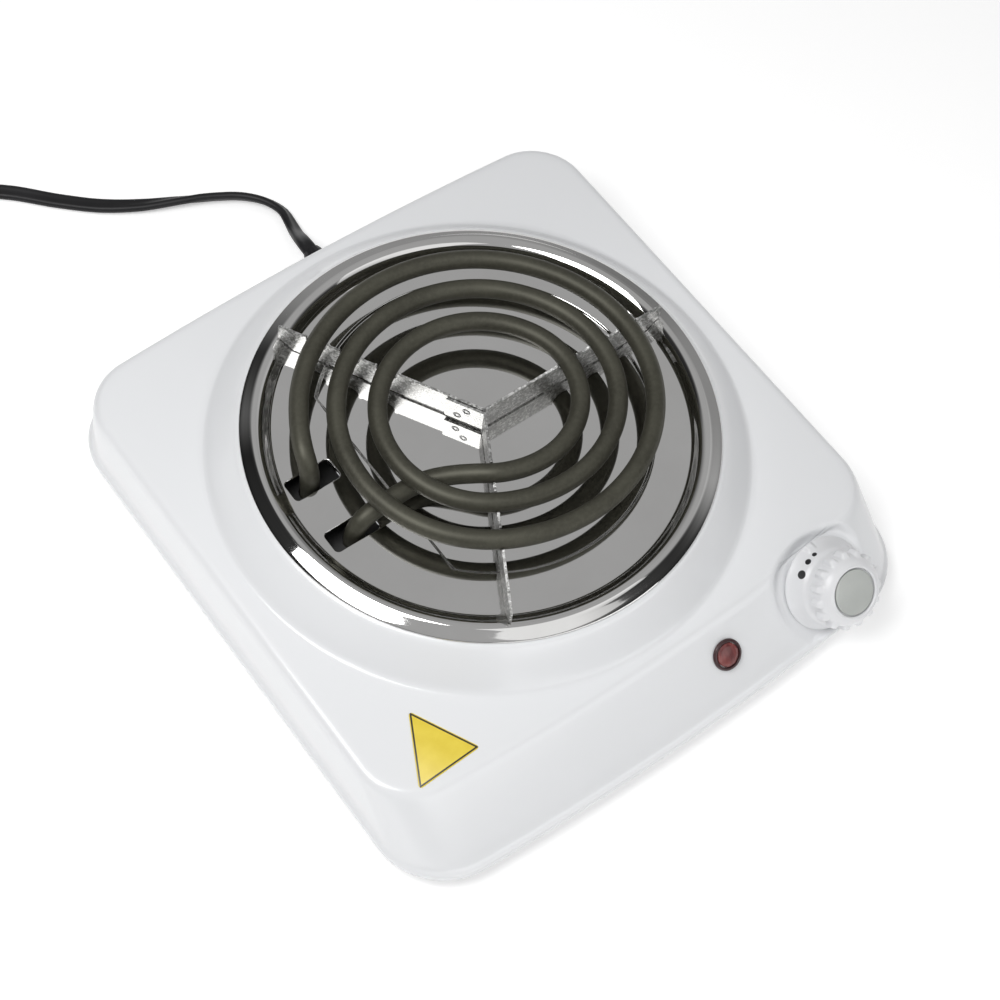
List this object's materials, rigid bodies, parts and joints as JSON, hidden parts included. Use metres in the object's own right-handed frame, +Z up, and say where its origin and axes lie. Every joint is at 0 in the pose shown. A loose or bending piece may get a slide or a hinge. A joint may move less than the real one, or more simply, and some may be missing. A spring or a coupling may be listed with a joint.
{
  "type": "hot plate burner",
  "caption": "Square countertop hot plate with a raised round collar, a bright drip pan, a spiral tube heating element on a sheet-metal support, a ribbed control knob and a flat mains lead.",
  "frame": {"origin": "middle of the burner's box, on the surface its feet stand on, with the lead, coil and plug left out", "axes": "+Z up, -Y towards the sloping control panel and knob, +X to the right seen from the front"},
  "size_m": [0.3807, 0.4385, 0.0622],
  "materials": {
    "brass": "satin",
    "ceramic": "unglazed",
    "chrome": "polished",
    "cord_black": "soft vinyl sheen",
    "dark_plastic": "satin",
    "enamel": "glossy white enamel",
    "grey_plastic": "satin grey",
    "label_yellow": "printed, satin",
    "lamp_red": "tinted, faceted",
    "rubber": "matte",
    "sheath": "dark oxidised tube",
    "steel": "plain pressed steel",
    "white_plastic": "moulded, satin",
    "wire_white": "heat-resistant sleeve",
    "zinc": "galvanised, spangled"
  },
  "bodies": {
    "housing": {"base_plate": "steel", "bimetal_leaf": "brass", "bracket_screw_back": "steel", "bracket_screw_front": "steel", "caution_label": "label_yellow", "contact_tab_load": "brass", "contact_tab_supply": "brass", "cord_coil": "cord_black", "cord_lead": "cord_black", "cord_tail": "cord_black", "corner_bracket_back_left": "steel", "corner_bracket_back_right": "steel", "corner_bracket_front_left": "steel", "corner_bracket_front_right": "steel", "drip_pan": "chrome", "element_bracket": "steel", "element_pin_end": "steel", "element_pin_start": "steel", "foot_back_left": "rubber", "foot_back_right": "rubber", "foot_front_left": "rubber", "foot_front_right": "rubber", "foot_screw_back_left": "steel", "foot_screw_back_right": "steel", "foot_screw_front_left": "steel", "foot_screw_front_right": "steel", "heating_element": "sheath", "lamp_bezel": "dark_plastic", "lamp_clip": "steel", "lamp_housing": "dark_plastic", "lamp_lens": "lamp_red", "pin_seal_end": "ceramic", "pin_seal_start": "ceramic", "plug_blade_live": "brass", "plug_blade_neutral": "brass", "plug_body": "cord_black", "spider_third_arm": "zinc", "spider_v_strip": "zinc", "strain_relief": "cord_black", "thermostat_body": "ceramic", "thermostat_bolt_left": "steel", "thermostat_bolt_right": "steel", "thermostat_bracket": "steel", "top_shell": "enamel", "wire_lamp_live": "wire_white", "wire_lamp_neutral": "wire_white", "wire_load": "wire_white", "wire_neutral": "wire_white", "wire_supply": "wire_white"},
    "knob": {"control_knob": "white_plastic", "knob_cap": "grey_plastic", "thermostat_shaft": "steel"}
  },
  "joints": [
    {"name": "knob_turn", "type": "hinge", "parent": "housing", "child": "knob", "pos_m": [0.0753, -0.10598, 0.0224], "axis": [0, -0.7071, 0.7071], "range_deg": [-285, 0]}
  ]
}
